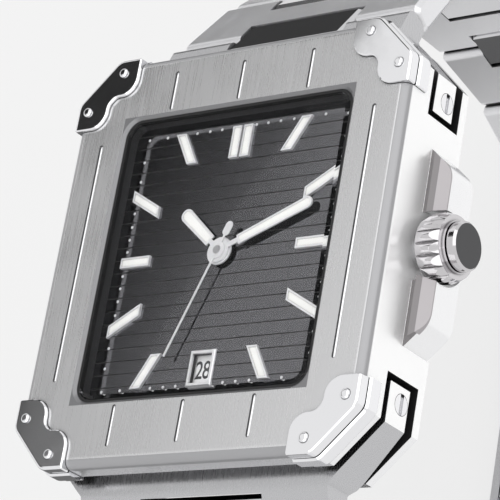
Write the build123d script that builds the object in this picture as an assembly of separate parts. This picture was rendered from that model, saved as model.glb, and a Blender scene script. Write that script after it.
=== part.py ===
from build123d import *
import math
import os

# A square steel watch on a closed bracelet, in millimetres.
# X points to the crown, Y to twelve o'clock and Z out of the dial.
# The origin is the centre of the case back's outer face.

# Case
case_width = 40.0
case_length = 42.6
case_thickness = 10.4
corner_cut = 4.25
case_bottom_z = 0.9
case_top_z = 7.8
cavity_radius = 2.0
overrun = 1.0
seat_gap = 0.04
running_gap = 0.05

# Bezel
bezel_edge_radius = 1.0
opening_width = 27.44
opening_length = 29.5
opening_radius = 1.8
opening_bevel = 0.3
slot_width = 0.47
slot_depth = 0.35
end_slot_inset = 1.86
end_slot_length = 4.17
end_slot_spacing = 8.28
side_slot_inset = 3.51
side_slot_end_gap = 8.81

# Corner guards and their studs
guard_top_z = 10.82
guard_proud = 0.2
guard_step = 0.2
guard_edge_radius = 0.3
guard_inner_bevel = 0.12
guard_corner_radius = 1.4
lobe_radius = 1.85
lobe_end_side_inset = 5.05
lobe_end_inset = 1.95
lobe_side_inset = 1.8
lobe_side_end_inset = 5.2
guard_web_breadth = 3.95
guard_web_radius = 1.15
guard_groove_z = 9.55
guard_groove_height = 0.16
guard_groove_depth = 0.2
stud_end_side_inset = 5.0
stud_end_inset = 1.3
stud_side_inset = 1.18
stud_side_end_inset = 5.12
stud_radius = 0.49
stud_dome = 0.28
stud_length = 1.5

# Crystal, gasket and inner ring
crystal_edge_gap = 0.32
crystal_bottom_z = 9.45
crystal_top_z = 10.35
gasket_drop = 0.3
ring_wall = 0.3

# Dial and what is on it
dial_top_z = 8.45
dial_thickness = 0.4
dial_edge_gap = 0.06
dial_hole_radius = 1.0
dial_groove_pitch = 1.32
dial_groove_width = 0.12
dial_groove_depth = 0.06
dial_groove_phase = 0.41
marker_height = 0.3
marker_half_width = 0.53
marker_wall = 0.17
marker_recess = 0.14
row_inset = 1.55
row_length = 3.35
column_inset = 1.39
column_length = 3.57
double_inner_x = 0.12
double_outer_x = 1.2
lume_drop = 0.04
window_inset = 3.12
window_width = 2.3
window_height = 2.95
window_wall = 0.33
window_frame_height = 0.26

# Hands
hand_thickness = 0.16
hour_hand_z = 8.84
minute_hand_z = 9.04
seconds_hand_z = 9.24
hour_hand_length = 6.95
hour_hand_base = 1.74
hour_hand_width = 1.4
minute_hand_length = 11.0
minute_hand_base = 2.3
minute_hand_width = 1.22
hand_neck_width = 0.5
hand_wall = 0.2
hand_recess = 0.06
hour_boss_radius = 1.4
minute_boss_radius = 1.2
seconds_boss_radius = 0.85
seconds_length = 11.25
seconds_width = 0.22
seconds_tail = 3.0
seconds_tail_width = 0.85
seconds_tail_length = 1.5
seconds_cap_radius = 0.42
seconds_cap_height = 0.1
hour_hand_angle = -49.0
minute_hand_angle = 68.3
seconds_hand_angle = 202.0
hour_pipe_radius = 0.85
minute_pipe_radius = 0.57
arbor_radius = 0.22

# Movement
movement_radius = 13.0
cavity_side_gap = 0.9
cavity_end_gap = 2.2
plate_bottom_z = 4.4
plate_top_z = 7.4
plate_recess_radius = 3.2
plate_recess_depth = 0.8
hour_wheel_radius = 2.6
hour_wheel_thickness = 0.2
pinion_radius = 1.2
disc_edge_gap = 0.15
disc_breadth = 3.25
disc_thickness = 0.3
disc_seat_gap = 0.1
holder_bottom_z = 1.8
holder_top_z = 8.01
battery_radius = 3.95
battery_thickness = 2.1
battery_x = -6.8
battery_y = 4.6
board_thickness = 0.35
board_left_x = -9.6
board_right_x = -2.4
board_bottom_y = -8.0
board_top_y = -2.9
coil_radius = 1.2
coil_length = 8.0
coil_x = 3.4
coil_y = -9.0
core_radius = 0.45
core_length = 10.0
stator_thickness = 0.45
stator_width = 3.4
rotor_x = 6.2
rotor_y = -5.4
rotor_radius = 0.95
rotor_height = 1.2
rotor_axle_radius = 0.25
rotor_hole_gap = 0.3
seconds_wheel_radius = 1.9
seconds_wheel_z = 3.3
wheel_thickness = 0.22
bridge_bottom_z = 2.0
bridge_thickness = 0.6
bridge_post_radius = 0.8
bridge_half_width = 1.2
bridge_near_x = -2.15
bridge_near_y = 1.87
bridge_far_x = 10.3
bridge_far_y = -3.4

# Crown, stem and tube
crown_axis_z = 4.15
crown_side_gap = 0.95
crown_barrel_length = 2.55
crown_cap_length = 1.3
crown_radius = 3.3
crown_end_drop = 0.3
crown_end_round = 0.9
crown_flutes = 16
crown_lobe_radius = 0.57
crown_step_radius = 2.45
crown_step_height = 0.3
crown_groove_width = 0.12
crown_groove_depth = 0.25
crown_cap_radius = 2.3
crown_cap_bevel = 0.22
crown_bore_radius = 1.75
crown_bore_depth = 1.9
crown_clearance = 0.25
tube_radius = 1.3
tube_bore_radius = 0.62
tube_inner_gap = 0.4
tube_proud = 2.2
stem_radius = 0.45
stem_groove_radius = 0.28
stem_inner_x = 7.0
stem_groove_x = 9.3
stem_groove_width = 0.6
clip_thickness = 0.4
clip_half_width = 1.5
clip_height = 1.7
crown_travel = 1.0

# Crown guard block on the case side
block_breadth = 2.35
block_base_y = 9.7
block_face_y = 7.6
block_bottom_z = 1.3
block_top_z = 5.9
block_slope_drop = 0.95
block_corner_radius = 2.4
block_groove_width = 0.8
block_groove_depth = 0.55

# Case back
back_side_lap = 3.1
back_end_lap = 1.3
back_radius = 3.0
spigot_height = 0.7
spigot_gap = 0.45
back_screw_side_wall = 1.05
back_screw_end_inset = 0.6
back_screw_head_radius = 0.85
back_screw_head_height = 0.4
back_screw_radius = 0.5
back_screw_length = 2.4

# Lug slots, end links and their screws
lug_slot_bottom_z = 1.9
lug_slot_top_z = 6.85
lug_slot_depth = 4.3
lug_window_depth = 4.1
lug_window_length = 8.7
web_recess_depth = 1.1
web_recess_half_width = 13.6
arm_window_gap = 0.3
arm_side_gap = 0.05
arm_end_gap = 0.65
arm_bottom_z = 3.0
arm_foot_z = 2.05
arm_top_z = 6.1
tongue_gap = 0.4
lug_screw_inset = 2.25
lug_screw_z = 4.05
lug_head_radius = 0.98
lug_head_height = 0.8
lug_shank_radius = 0.6
lug_shank_depth = 1.3
lug_driver_slot = 0.5
lug_driver_depth = 0.28
back_driver_slot = 0.28
end_link_angle = 22.0
end_link_crest_radius = 5.0
first_pin_reach = 2.15
first_pin_z = 3.9

# Bracelet links
pitch = 9.2
link_half_thickness = 1.45
butt_offset = 1.9
butt_gap = 0.12
link_round = 0.9
link_side_bevel = 0.45
bracelet_start_width = 29.0
bracelet_end_width = 18.0
plate_width_share = 0.483
plate_length = 5.6
plate_rise = 0.05
plate_bevel = 0.5
plate_gap = 0.12
plate_relief_along = 1.0
plate_relief_deep = 1.2
pin_radius = 0.45
pin_end_gap = 0.8
twelve_angles = [36, 44, 57, 70, 94, 106, 122, 158]
six_angles = [42, 58, 74, 88, 100, 112, 128]

# Clasp
clasp_drop = 3.95
clasp_height = 3.3
clasp_wall = 1.0
clasp_start_inset = 2.3
clasp_end_inset = 2.72
clasp_edge_bevel = 0.5
blade_half_width = 4.3
blade_thickness = 0.8
blade_knuckle_radius = 0.95
blade_knuckle_half_width = 2.4
knuckle_gap = 0.1
fold_hinge_inset = 3.4
fold_hinge_rise = 3.25
cover_hinge_inset = 3.2
cover_hinge_rise = 2.25
long_blade_rise = 3.9
short_blade_rise = 2.6
tongue_half_width = 4.1
tongue_wall = 1.1
tongue_pivot_radius = 0.9
pusher_half_length = 2.6
pusher_height = 1.3
pusher_rise = 2.15
pusher_proud = 0.5
pusher_depth = 2.9
pusher_flange_gap = 0.1
pusher_flange_reach = 0.3
pusher_gap = 0.06

# Places that follow from the case's width and length
half_case_width = case_width / 2
half_case_length = case_length / 2
corner_sum = half_case_width + half_case_length - corner_cut
end_slot_end = half_case_length - end_slot_inset
end_slot_start = end_slot_end - end_slot_length
side_slot_x = half_case_width - side_slot_inset
side_slot_length = case_length - 2 * side_slot_end_gap
lobe_end_x = half_case_width - lobe_end_side_inset
lobe_end_y = half_case_length - lobe_end_inset
lobe_side_x = half_case_width - lobe_side_inset
lobe_side_y = half_case_length - lobe_side_end_inset
guard_web_sum = corner_sum - guard_web_breadth
stud_places = ((half_case_width - stud_end_side_inset, half_case_length - stud_end_inset),
               (half_case_width - stud_side_inset, half_case_length - stud_side_end_inset))
block_outer_x = half_case_width + block_breadth
crown_base_x = half_case_width + crown_side_gap
crown_rim_x = crown_base_x + crown_barrel_length
crown_face_x = crown_rim_x + crown_cap_length
tube_outer_x = half_case_width + tube_proud
lug_slot_y = half_case_length - lug_slot_depth
lug_window_x = half_case_width - lug_window_depth
lug_window_y = half_case_length - lug_window_length
web_recess_y = half_case_length - web_recess_depth
arm_inner_x = lug_window_x + arm_window_gap
arm_outer_x = half_case_width - arm_side_gap
arm_start_y = lug_window_y + arm_end_gap
tongue_start_y = lug_slot_y + tongue_gap
lug_screw_y = lug_window_y + lug_screw_inset
first_pin_y = half_case_length + first_pin_reach

# Places that follow from the dial opening
crystal_width = opening_width - 2 * crystal_edge_gap
crystal_length = opening_length - 2 * crystal_edge_gap
crystal_radius = opening_radius - crystal_edge_gap
row_outer_y = opening_length / 2 - row_inset
row_inner_y = row_outer_y - row_length
column_outer_x = opening_width / 2 - column_inset
column_inner_x = column_outer_x - column_length
window_centre_y = window_inset - opening_length / 2

# Places that follow from the movement
disc_outer_radius = movement_radius + disc_edge_gap
disc_inner_radius = disc_outer_radius - disc_breadth
cavity_width = 2 * (movement_radius + cavity_side_gap)
cavity_length = 2 * (movement_radius + cavity_end_gap)
tube_inner_x = cavity_width / 2 + tube_inner_gap
back_width = cavity_width + 2 * back_side_lap
back_length = cavity_length + 2 * back_end_lap
back_screw_x = cavity_width / 2 + back_screw_side_wall
back_screw_y = cavity_length / 2 - back_screw_end_inset


def chain_pins(angles):
    """The pins of one side of the bracelet, worked out from the slopes of its links."""
    pins = [(first_pin_y, first_pin_z)]
    for angle in angles:
        turn = math.radians(angle)
        y, z = pins[-1]
        pins.append((y + pitch * math.cos(turn), z - pitch * math.sin(turn)))
    return pins


# Places that follow from the bracelet's last pins
twelve_pins = chain_pins(twelve_angles)
six_pins = chain_pins(six_angles)
clasp_floor_z = twelve_pins[-1][1] - clasp_drop
clasp_rim_z = clasp_floor_z + clasp_height
clasp_start_y = twelve_pins[-1][0] - clasp_start_inset
clasp_end_y = clasp_end_inset - six_pins[-1][0]
fold_hinge_y = clasp_end_y + fold_hinge_inset
fold_hinge_z = clasp_floor_z + fold_hinge_rise
cover_hinge_y = clasp_start_y - cover_hinge_inset
cover_hinge_z = clasp_floor_z + cover_hinge_rise
long_blade_z = clasp_floor_z + long_blade_rise
short_blade_z = clasp_floor_z + short_blade_rise
pusher_z = clasp_floor_z + pusher_rise
clasp_width = bracelet_end_width
pusher_outer_x = clasp_width / 2 + pusher_proud
pusher_inner_x = pusher_outer_x - pusher_depth
pusher_flange_x = clasp_width / 2 - clasp_wall - pusher_flange_gap


def block(x0, x1, y0, y1, z0, z1):
    """A box between two corners."""
    centre = Pos((x0 + x1) / 2, (y0 + y1) / 2, (z0 + z1) / 2)
    return centre * Box(x1 - x0, y1 - y0, z1 - z0)


def prism(points, z0, z1):
    """A closed outline in the XY plane, raised from z0 to z1."""
    outline = Polyline(*[(x, y, z0) for x, y in points], close=True)
    return extrude(make_face(outline), z1 - z0, dir=(0, 0, 1))


def side_prism(points, half_width):
    """A closed outline in the YZ plane, carried across X both ways."""
    outline = Polyline(*[(-half_width, y, z) for y, z in points], close=True)
    return extrude(make_face(outline), 2 * half_width, dir=(1, 0, 0))


def cross_prism(points, y0, y1):
    """A closed outline in the XZ plane, carried along Y."""
    outline = Polyline(*[(x, y0, z) for x, z in points], close=True)
    return extrude(make_face(outline), y1 - y0, dir=(0, 1, 0))


def rod(start, end, radius):
    """A round bar between two points."""
    path = Vector(*end) - Vector(*start)
    base = Plane(origin=start, z_dir=path)
    return extrude(base * Circle(radius), path.length, dir=path)


def post(x, y, z0, z1, radius):
    """A round bar along Z."""
    return rod((x, y, z0), (x, y, z1), radius)


def slab(width, length, radius, z0, z1):
    """A plate with rounded corners, centred on the Z axis."""
    outline = Pos(0, 0, z0) * RectangleRounded(width, length, radius)
    return extrude(outline, z1 - z0, dir=(0, 0, 1))


def four_corners(shape):
    """The shape and its mirror images in the two upright middle planes."""
    right = [shape, mirror(shape, about=Plane.XZ)]
    return right + [mirror(one, about=Plane.YZ) for one in right]


def turned(shape, angle):
    """The shape turned clockwise, as the dial is read, from twelve o'clock."""
    return Rot(0, 0, -angle) * shape


def save(name, *solids):
    """Write one sub-part, which may be several separate solids."""
    pieces = [solid for shape in solids for solid in shape.solids()]
    whole = pieces[0] if len(pieces) == 1 else Compound(children=pieces)
    whole.label = name
    export_step(whole, f"parts/{name}.step")
    print(name, len(pieces), round(sum(piece.volume for piece in pieces), 2))


def case_outline(grow):
    """The case seen from above: a rectangle with its corners cut at 45 degrees."""
    half_x = half_case_width + grow
    half_y = half_case_length + grow
    cut = corner_sum + grow * math.sqrt(2)
    return [(half_x, -(cut - half_x)), (half_x, cut - half_x),
            (cut - half_y, half_y), (-(cut - half_y), half_y),
            (-half_x, cut - half_x), (-half_x, -(cut - half_x)),
            (-(cut - half_y), -half_y), (cut - half_y, -half_y)]


def guard_sketch(grow, proud):
    """One corner guard from above: two lobes joined by a web along the cut corner.

    Its outer sides stand proud of the case, and grow widens it all round.
    """
    half_x = half_case_width + proud
    half_y = half_case_length + proud
    outer_sum = corner_sum + proud * math.sqrt(2)
    corner = [(lobe_end_x, half_y), (outer_sum - half_y, half_y),
              (half_x, outer_sum - half_x), (half_x, lobe_side_y),
              (lobe_side_x, lobe_side_y), (lobe_side_x, guard_web_sum - lobe_side_x),
              (guard_web_sum - lobe_end_y, lobe_end_y), (lobe_end_x, lobe_end_y)]
    whole = make_face(Polyline(*corner, close=True))
    whole += Pos(lobe_end_x, lobe_end_y) * Circle(lobe_radius)
    whole += Pos(lobe_side_x, lobe_side_y) * Circle(lobe_radius)
    whole += Pos(lobe_end_x, lobe_end_y) * Rectangle(
        lobe_radius, half_y - lobe_end_y, align=(Align.MAX, Align.MIN))
    whole += Pos(lobe_side_x, lobe_side_y) * Rectangle(
        half_x - lobe_side_x, lobe_radius, align=(Align.MIN, Align.MAX))
    limit = [(0, 0), (half_x, 0), (half_x, outer_sum - half_x),
             (outer_sum - half_y, half_y), (0, half_y)]
    whole = whole & make_face(Polyline(*limit, close=True))
    nook = [v for v in whole.vertices() if abs(v.X + v.Y - guard_web_sum) < seat_gap]
    whole = fillet(nook, guard_web_radius)
    ends = [v for v in whole.vertices() if abs(v.X + v.Y - outer_sum) < seat_gap]
    whole = fillet(ends, guard_corner_radius)
    return offset(whole, grow) if grow else whole


def outer_edges(face):
    """The edges of a guard's level face that run along the outside of the case."""
    limit = (corner_sum + guard_web_sum) / 2
    return [e for e in face.edges() if e.center().X + e.center().Y > limit]


def make_guard():
    """A polished block let into the bezel's corner, in two tiers with a groove between."""
    neck_z = guard_groove_z + guard_groove_height
    upper = extrude(Pos(0, 0, neck_z) * guard_sketch(0, guard_proud),
                    guard_top_z - neck_z, dir=(0, 0, 1))
    upper = fillet(outer_edges(upper.faces().sort_by(Axis.Z)[-1]), guard_edge_radius)
    top = upper.faces().sort_by(Axis.Z)[-1]
    limit = (corner_sum + guard_web_sum) / 2
    upper = chamfer([e for e in top.edges() if e.center().X + e.center().Y < limit],
                    guard_inner_bevel)
    lower = extrude(Pos(0, 0, case_top_z) * guard_sketch(0, guard_proud + guard_step),
                    guard_groove_z - case_top_z, dir=(0, 0, 1))
    lower = chamfer(outer_edges(lower.faces().sort_by(Axis.Z)[-1]), guard_step)
    lower = fillet(outer_edges(lower.faces().sort_by(Axis.Z)[0]), guard_edge_radius)
    neck = extrude(Pos(0, 0, guard_groove_z) * guard_sketch(0, -guard_groove_depth),
                   guard_groove_height, dir=(0, 0, 1))
    body = lower + neck + upper
    for x, y in stud_places:
        body -= post(x, y, guard_top_z - stud_length, guard_top_z + overrun,
                     stud_radius + seat_gap)
    return body


def make_studs():
    """Two domed studs for one guard."""
    studs = []
    for x, y in stud_places:
        stud = post(x, y, guard_top_z - stud_length, guard_top_z + stud_dome, stud_radius)
        studs.append(fillet(stud.edges().sort_by(Axis.Z)[-1], stud_dome - seat_gap))
    return studs


def make_bezel():
    """The brushed front plate with its opening, engraved lines and corner pockets."""
    plate = prism(case_outline(0), case_top_z, case_thickness)
    plate = fillet(plate.faces().sort_by(Axis.Z)[-1].edges(), bezel_edge_radius)
    plate -= slab(opening_width, opening_length, opening_radius,
                  case_top_z - overrun, case_thickness + overrun)
    rim = plate.faces().sort_by(Axis.Z)[-1].inner_wires()[0]
    plate = chamfer(rim.edges(), opening_bevel)
    proud = guard_proud + guard_step
    pocket = extrude(Pos(0, 0, case_top_z - overrun) * guard_sketch(seat_gap, proud),
                     guard_top_z - case_top_z + 2 * overrun, dir=(0, 0, 1))
    for one in four_corners(pocket):
        plate -= one
    depth = slot_depth + overrun
    floor = case_thickness - slot_depth
    middle = (end_slot_end + end_slot_start) / 2
    for x in (-end_slot_spacing, 0, end_slot_spacing):
        for y in (-middle, middle):
            line = Pos(x, y, floor) * SlotOverall(end_slot_length, slot_width, rotation=90)
            plate -= extrude(line, depth, dir=(0, 0, 1))
    for x in (-side_slot_x, side_slot_x):
        line = Pos(x, 0, floor) * SlotOverall(side_slot_length, slot_width, rotation=90)
        plate -= extrude(line, depth, dir=(0, 0, 1))
    return plate


def make_case_middle():
    """The case band with lug slots at both ends and the crown's guard block."""
    body = prism(case_outline(0), case_bottom_z, case_top_z)
    half = half_case_width
    outline = [(half - overrun, -block_base_y), (half, -block_base_y),
               (block_outer_x, -block_face_y), (block_outer_x, block_face_y),
               (half, block_base_y), (half - overrun, block_base_y)]
    guard = prism(outline, block_bottom_z, block_top_z)
    bends = [e for e in guard.edges().filter_by(Axis.Z) if e.center().X > half + overrun]
    guard = fillet(bends, block_corner_radius)
    start = half + block_groove_width
    fall = block_slope_drop / (block_outer_x - start)
    far = block_outer_x + overrun
    slope = [(start, block_top_z), (far, block_top_z - fall * (far - start)),
             (far, block_top_z + overrun), (start, block_top_z + overrun)]
    guard -= cross_prism(slope, -block_base_y, block_base_y)
    body += guard
    body -= block(half, start, -block_base_y, block_base_y,
                  block_top_z - block_groove_depth, block_top_z + overrun)
    body -= rod((half, 0, crown_axis_z), (far, 0, crown_axis_z),
                crown_radius + crown_clearance)
    body -= slab(cavity_width, cavity_length, cavity_radius,
                 case_bottom_z - overrun, case_top_z + overrun)
    for side in (-1, 1):
        y0, y1 = sorted((side * lug_slot_y, side * (half_case_length + overrun)))
        body -= block(-half - overrun, half + overrun, y0, y1,
                      lug_slot_bottom_z, lug_slot_top_z)
        y0, y1 = sorted((side * web_recess_y, side * (half_case_length + overrun)))
        body -= block(-web_recess_half_width, web_recess_half_width, y0, y1,
                      lug_slot_top_z - overrun, case_top_z + overrun)
        for hand in (-1, 1):
            x0, x1 = sorted((hand * lug_window_x, hand * (half + overrun)))
            y0, y1 = sorted((side * lug_window_y, side * (lug_slot_y + overrun)))
            body -= block(x0, x1, y0, y1, lug_slot_bottom_z, lug_slot_top_z)
            inner = hand * (lug_window_x - lug_shank_depth)
            body -= rod((inner, side * lug_screw_y, lug_screw_z),
                        (hand * arm_outer_x, side * lug_screw_y, lug_screw_z),
                        lug_shank_radius + seat_gap)
    body -= rod((cavity_width / 2 - overrun, 0, crown_axis_z),
                (half + overrun, 0, crown_axis_z), tube_radius + seat_gap)
    for x in (-back_screw_x, back_screw_x):
        for y in (-back_screw_y, back_screw_y):
            body -= post(x, y, case_bottom_z - overrun, back_screw_length + seat_gap,
                         back_screw_radius + seat_gap)
    return body


def make_lug_screws():
    """Four slotted screws that carry the end links."""
    screws = []
    for side in (-1, 1):
        for hand in (-1, 1):
            tip = hand * (lug_window_x - lug_shank_depth + seat_gap)
            neck = hand * (arm_outer_x - lug_head_height)
            face = hand * arm_outer_x
            y = side * lug_screw_y
            screw = rod((tip, y, lug_screw_z), (neck, y, lug_screw_z), lug_shank_radius)
            screw += rod((neck, y, lug_screw_z), (face, y, lug_screw_z), lug_head_radius)
            x0, x1 = sorted((face - hand * lug_driver_depth, face + hand * overrun))
            screw -= block(x0, x1, y - lug_head_radius - seat_gap,
                           y + lug_head_radius + seat_gap,
                           lug_screw_z - lug_driver_slot / 2,
                           lug_screw_z + lug_driver_slot / 2)
            screws.append(screw)
    return screws


def place_link(angle, pin, side):
    """Where a link stands: its entry pin, its slope, and the end of the watch it is on."""
    return Rot(0, 0, 0 if side > 0 else 180) * Pos(0, pin[0], pin[1]) * Rot(-angle, 0, 0)


def half_width(index, count):
    """The bracelet's half width at one joint, narrowing evenly to the clasp."""
    share = index / count
    return (bracelet_start_width * (1 - share) + bracelet_end_width * share) / 2


def pin_bore(s, reach, radius):
    """A round bar across the bracelet at a distance s along the link."""
    return rod((-reach, s, 0), (reach, s, 0), radius)


def make_end_link(count):
    """The tongue that joins the bracelet to the case, with an arm on each side."""
    turn = math.radians(end_link_angle)
    along = (math.cos(turn), -math.sin(turn))
    out = (math.sin(turn), math.cos(turn))

    def at(s, n):
        """A point in the YZ plane, s along the joint's slope and n above it."""
        return (first_pin_y + s * along[0] + n * out[0],
                first_pin_z + s * along[1] + n * out[1])

    stop = butt_offset - butt_gap
    thick = link_half_thickness
    crest = at(-butt_offset, thick + plate_rise)
    points = [(arm_start_y, arm_bottom_z), (corner_sum - half_case_width, arm_bottom_z),
              (half_case_length, arm_foot_z), (first_pin_y - thick, arm_foot_z),
              at(-butt_gap, -thick), at(stop, -thick), at(stop, thick), crest,
              (arm_start_y, arm_top_z)]
    body = side_prism(points, arm_outer_x + overrun)
    lines = body.edges().filter_by(Axis.X)
    body = fillet([e for e in lines if abs(e.center().Y - crest[0]) < seat_gap
                   and abs(e.center().Z - crest[1]) < seat_gap], end_link_crest_radius)
    front = first_pin_y + link_round
    body = fillet([e for e in body.edges().filter_by(Axis.X) if e.center().Y > front
                   and min(abs(e.center().Y - at(stop, n)[0]) for n in (-thick, thick))
                   < seat_gap], link_round)
    wide = half_width(0, count)
    far = first_pin_y + butt_offset + overrun
    plan = [(arm_inner_x, arm_start_y), (arm_outer_x, arm_start_y),
            (arm_outer_x, corner_sum - arm_outer_x),
            (wide, corner_sum - wide), (wide, far + overrun)]
    plan += [(-x, y) for x, y in reversed(plan)]
    plan += [(-arm_inner_x, tongue_start_y), (arm_inner_x, tongue_start_y)]
    body &= prism(plan, -case_thickness, case_thickness)
    plate = plate_width_share * wide + plate_gap
    notch = block(-plate, plate, -(plate_length / 2 - butt_offset) - plate_gap,
                  pitch, -pitch, pitch)
    body -= place_link(end_link_angle, (first_pin_y, first_pin_z), 1) * notch
    reach = wide - pin_end_gap + seat_gap
    body -= Pos(0, first_pin_y, first_pin_z) * pin_bore(0, reach, pin_radius + running_gap)
    for hand in (-1, 1):
        inner = hand * (arm_inner_x - overrun)
        neck = hand * (arm_outer_x - lug_head_height - seat_gap)
        face = hand * (arm_outer_x + overrun)
        body -= rod((inner, lug_screw_y, lug_screw_z), (neck, lug_screw_y, lug_screw_z),
                    lug_shank_radius + running_gap)
        body -= rod((neck, lug_screw_y, lug_screw_z), (face, lug_screw_y, lug_screw_z),
                    lug_head_radius + running_gap)
    return body


def make_link(index, count):
    """One bracelet link in its own frame, its entry pin on the X axis.

    The brushed outer part is an H, the polished plate fills its entry notch,
    and two pins cross them.
    """
    start_wide = half_width(index, count)
    end_wide = half_width(index + 1, count)
    plate = plate_width_share * start_wide
    next_plate = plate_width_share * end_wide
    thick = link_half_thickness
    first = butt_offset + butt_gap
    last = butt_offset + pitch - butt_gap
    overlap = plate_length / 2 - butt_offset
    middle = (first + last) / 2
    profile = Plane.YZ.offset(-start_wide - overrun) * (
        Pos(middle, 0) * RectangleRounded(last - first, 2 * thick, link_round))
    outer = extrude(profile, 2 * (start_wide + overrun), dir=(1, 0, 0))
    slope = [(start_wide, first), (end_wide, last), (-end_wide, last), (-start_wide, first)]
    outer &= prism(slope, -pitch, pitch)
    for side in (0, -1):
        face = outer.faces().filter_by(
            lambda f: f.geom_type == GeomType.PLANE).sort_by(Axis.X)[side]
        outer = chamfer(face.edges(), link_side_bevel)
    entry = plate + plate_gap
    outer -= block(-entry, entry, -pitch, butt_offset + plate_length / 2 + plate_gap,
                   -pitch, pitch)
    leave = next_plate + plate_gap
    outer -= block(-leave, leave, pitch - overlap - plate_gap, 2 * pitch, -pitch, pitch)
    second_pin = 2 * butt_offset
    reach = start_wide - pin_end_gap
    next_reach = end_wide - pin_end_gap
    bore = pin_radius + running_gap
    outer -= pin_bore(second_pin, reach + seat_gap, pin_radius + seat_gap)
    outer -= pin_bore(pitch, next_reach + seat_gap, bore)

    back = -overlap
    front = butt_offset + plate_length / 2
    top = thick + plate_rise
    shape = [(back, plate_relief_deep - thick), (back, top - plate_bevel),
             (back + plate_bevel, top), (front - plate_bevel, top),
             (front, top - plate_bevel), (front, -thick + plate_bevel),
             (front - plate_bevel, -thick), (back + plate_relief_along, -thick)]
    centre = side_prism(shape, plate)
    across = [(-plate, -thick), (plate, -thick), (plate, top - plate_bevel),
              (plate - plate_bevel, top), (plate_bevel - plate, top),
              (-plate, top - plate_bevel)]
    centre &= cross_prism(across, back, front)
    centre -= pin_bore(0, start_wide, pin_radius + seat_gap)
    centre -= pin_bore(second_pin, start_wide, pin_radius + seat_gap)
    pins = [pin_bore(0, reach, pin_radius), pin_bore(second_pin, reach, pin_radius)]
    return [outer, centre] + pins


def make_long_blade(pin):
    """The blade next to the wrist, from the last twelve-side link to the fold hinge."""
    wide = blade_half_width
    half = blade_thickness / 2
    neck = blade_knuckle_half_width
    bend_y = fold_hinge_y + blade_knuckle_radius + 2 * knuckle_gap
    plate = block(-wide, wide, bend_y, pin[0], long_blade_z - half, long_blade_z + half)
    plate += block(-neck, neck, fold_hinge_y, bend_y, long_blade_z - half,
                   long_blade_z + half)
    plate += rod((-wide, pin[0], pin[1]), (wide, pin[0], pin[1]), blade_knuckle_radius)
    plate += rod((-neck, fold_hinge_y, fold_hinge_z), (neck, fold_hinge_y, fold_hinge_z),
                 blade_knuckle_radius)
    plate -= rod((-wide, pin[0], pin[1]), (wide, pin[0], pin[1]), pin_radius + seat_gap)
    plate -= rod((-wide, fold_hinge_y, fold_hinge_z), (wide, fold_hinge_y, fold_hinge_z),
                 pin_radius + running_gap)
    reach = half_width(1, 1) - pin_end_gap
    bar = rod((-reach, pin[0], pin[1]), (reach, pin[0], pin[1]), pin_radius)
    return [plate, bar]


def make_short_blade():
    """The middle blade, from the fold hinge back to the cover's hinge."""
    wide = blade_half_width
    half = blade_thickness / 2
    neck = blade_knuckle_half_width
    near = fold_hinge_y + blade_knuckle_radius + 2 * knuckle_gap
    far = cover_hinge_y - blade_knuckle_radius - 2 * knuckle_gap
    low = short_blade_z - half
    high = short_blade_z + half
    plate = block(-wide, wide, near, far, low, high)
    for side in (-1, 1):
        x0, x1 = sorted((side * (neck + knuckle_gap), side * wide))
        plate += block(x0, x1, fold_hinge_y, near, low, high)
        plate += rod((x0, fold_hinge_y, fold_hinge_z), (x1, fold_hinge_y, fold_hinge_z),
                     blade_knuckle_radius)
    plate += block(-neck, neck, far, cover_hinge_y, low, high)
    plate += rod((-neck, cover_hinge_y, cover_hinge_z), (neck, cover_hinge_y, cover_hinge_z),
                 blade_knuckle_radius)
    plate -= rod((-wide, fold_hinge_y, fold_hinge_z), (wide, fold_hinge_y, fold_hinge_z),
                 pin_radius + seat_gap)
    plate -= rod((-wide, cover_hinge_y, cover_hinge_z), (wide, cover_hinge_y, cover_hinge_z),
                 pin_radius + running_gap)
    bar = rod((-wide, fold_hinge_y, fold_hinge_z), (wide, fold_hinge_y, fold_hinge_z),
              pin_radius)
    return [plate, bar]


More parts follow.
